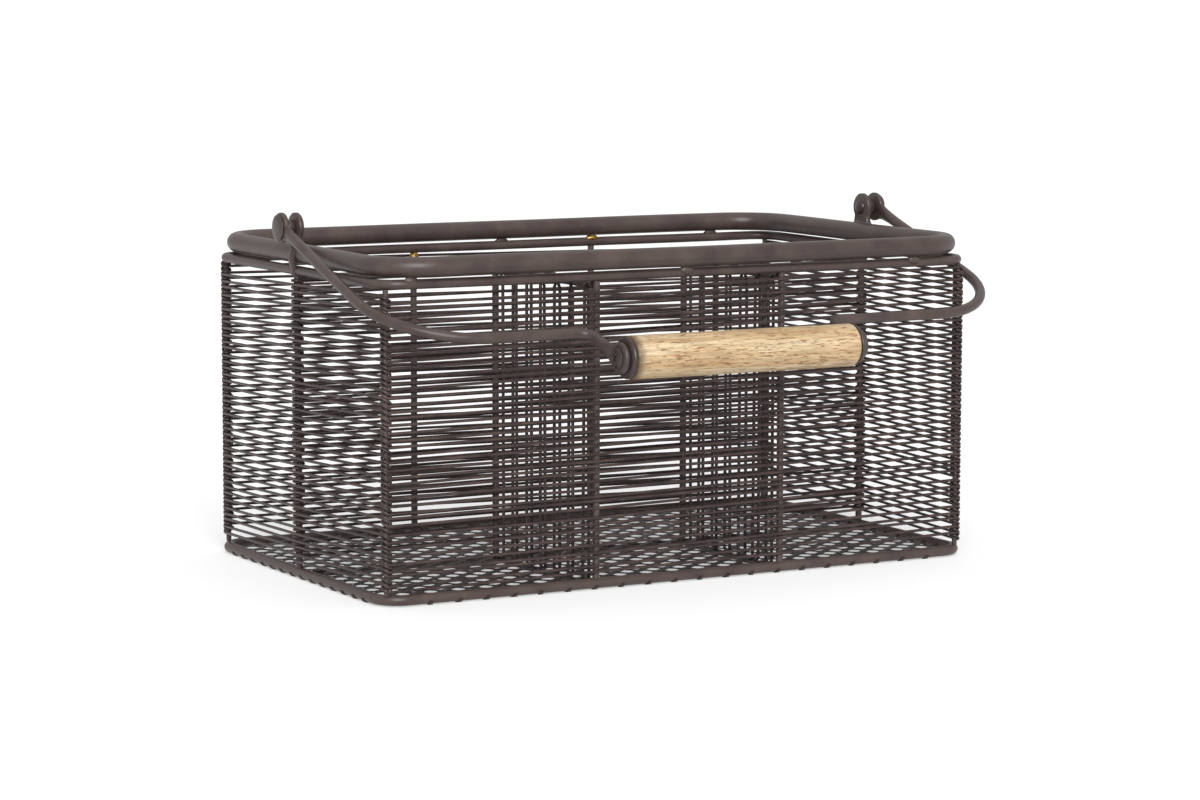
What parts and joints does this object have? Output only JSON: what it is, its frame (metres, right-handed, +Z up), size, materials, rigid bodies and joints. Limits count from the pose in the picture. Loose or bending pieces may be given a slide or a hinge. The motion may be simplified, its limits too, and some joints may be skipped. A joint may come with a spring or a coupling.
{
  "type": "wire produce basket",
  "caption": "Rectangular iron wire basket with one long and three short compartments, an expanded-metal floor, and a swinging bail handle with a turned wooden grip.",
  "frame": {"origin": "centre of the basket's underside, on the flat it rests on", "axes": "+X along the basket's length, -Y towards the side the handle is folded over, +Z up"},
  "size_m": [0.3388, 0.2626, 0.1746],
  "materials": {
    "rim": "satin dark brown-grey coating",
    "rods": "satin dark brown-grey coating",
    "welds": "coated weld",
    "winding_wire": "satin dark brown-grey coating",
    "floor_mesh": "satin dark brown-grey coating",
    "pivots": "satin dark brown-grey coating",
    "bail": "satin dark brown-grey coating",
    "grip_fittings": "dark coated steel",
    "grip_wood": "pale bare hardwood, lightly sealed"
  },
  "bodies": {
    "basket": {"bottom_ring": "rods", "upper_ring": "rods", "top_rim": "rim", "corner_post_front_left": "rods", "corner_post_back_left": "rods", "front_post_left": "rods", "back_post_left": "rods", "side_post_left": "rods", "inner_post_left": "rods", "corner_post_front_right": "rods", "corner_post_back_right": "rods", "front_post_right": "rods", "back_post_right": "rods", "side_post_right": "rods", "inner_post_right": "rods", "divider_top_rod": "rods", "floor_spine": "rods", "cross_top_rod_left": "rods", "cross_floor_rod_left": "rods", "cross_top_rod_right": "rods", "cross_floor_rod_right": "rods", "rim_weld_front_1": "welds", "rim_weld_front_2": "welds", "rim_weld_front_3": "welds", "rim_weld_back_1": "welds", "rim_weld_back_2": "welds", "rim_weld_back_3": "welds", "winding_front": "winding_wire", "winding_back": "winding_wire", "winding_left": "winding_wire", "winding_right": "winding_wire", "winding_divider": "winding_wire", "winding_cross_left": "winding_wire", "winding_cross_right": "winding_wire", "floor_mesh": "floor_mesh", "pivot_lug_left": "pivots", "end_strap_left": "pivots", "pivot_spacer_left": "pivots", "pivot_rivet_left": "pivots", "pivot_lug_right": "pivots", "end_strap_right": "pivots", "pivot_spacer_right": "pivots", "pivot_rivet_right": "pivots"},
    "bail": {"bail_left": "bail", "bail_right": "bail"},
    "grip_assembly": {"grip": "grip_wood", "grip_cap_left": "grip_fittings", "grip_cap_right": "grip_fittings", "grip_screw_left": "grip_fittings", "grip_screw_right": "grip_fittings"}
  },
  "joints": [
    {"name": "bail_swing", "type": "hinge", "parent": "basket", "child": "bail", "pos_m": [0, 0, 0.1674], "axis": [-1, 0, 0], "range_deg": [-3.4, 221]},
    {"name": "grip_spin", "type": "hinge", "parent": "bail", "child": "grip_assembly", "pos_m": [0, -0.15128, 0.11531], "axis": [1, 0, 0], "continuous": true}
  ]
}
